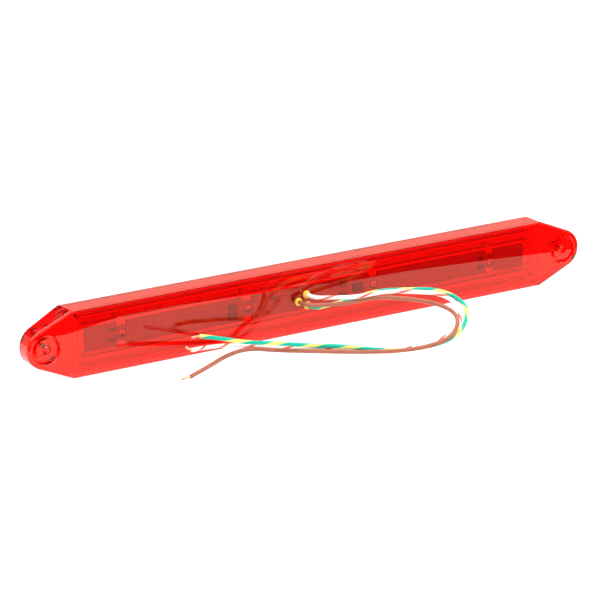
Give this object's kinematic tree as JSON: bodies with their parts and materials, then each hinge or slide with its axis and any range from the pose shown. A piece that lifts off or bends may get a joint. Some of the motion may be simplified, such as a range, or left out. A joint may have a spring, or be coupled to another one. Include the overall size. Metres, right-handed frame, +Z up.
{
  "type": "third brake light",
  "caption": "Slim sealed LED brake light bar with a tapered screw ear at each end, a clear red lens body and free connecting wires out of its back.",
  "frame": {"origin": "middle of the housing's footprint on the surface that it stands on, under the middle of its length and depth", "axes": "+X along the bar, +Y the way the light shines, +Z up, with the bar standing on its long edge"},
  "size_m": [0.2882, 0.0796, 0.031],
  "materials": {
    "red_lens": "polished transparent red acrylic",
    "red_plate": "polished transparent red acrylic",
    "board": "solder mask over glass fibre board, satin",
    "resistor_body": "ceramic chip, matt, with tinned ends",
    "diode_body": "moulded black package, matt",
    "capacitor_body": "ceramic chip, satin",
    "regulator_body": "moulded black package, matt",
    "led_body": "white package with a clear dome, gloss",
    "seal": "yellow potting resin, gloss",
    "solder": "tin solder, satin",
    "wire_white": "white PVC insulation with a red tracer, satin",
    "wire_brown": "brown PVC insulation, satin",
    "wire_green": "green PVC insulation with a yellow tracer, satin",
    "copper": "bare copper strands, bright"
  },
  "bodies": {
    "root": {"back_plate": "red_plate", "capacitors": "capacitor_body", "circuit_board": "board", "copper_end_brown": "copper", "copper_end_green": "copper", "copper_end_white": "copper", "diodes": "diode_body", "inner_lead_brown": "wire_brown", "inner_lead_green": "wire_green", "inner_lead_white": "wire_white", "led_01": "led_body", "led_02": "led_body", "led_03": "led_body", "led_04": "led_body", "led_05": "led_body", "led_06": "led_body", "led_07": "led_body", "led_08": "led_body", "led_09": "led_body", "led_10": "led_body", "led_11": "led_body", "led_12": "led_body", "lens_housing": "red_lens", "regulator": "regulator_body", "resistors": "resistor_body", "seal_brown": "seal", "seal_green": "seal", "seal_white": "seal", "solder_joint_brown": "solder", "solder_joint_green": "solder", "solder_joint_white": "solder", "wire_brown": "wire_brown", "wire_green": "wire_green", "wire_white": "wire_white"}
  },
  "joints": []
}
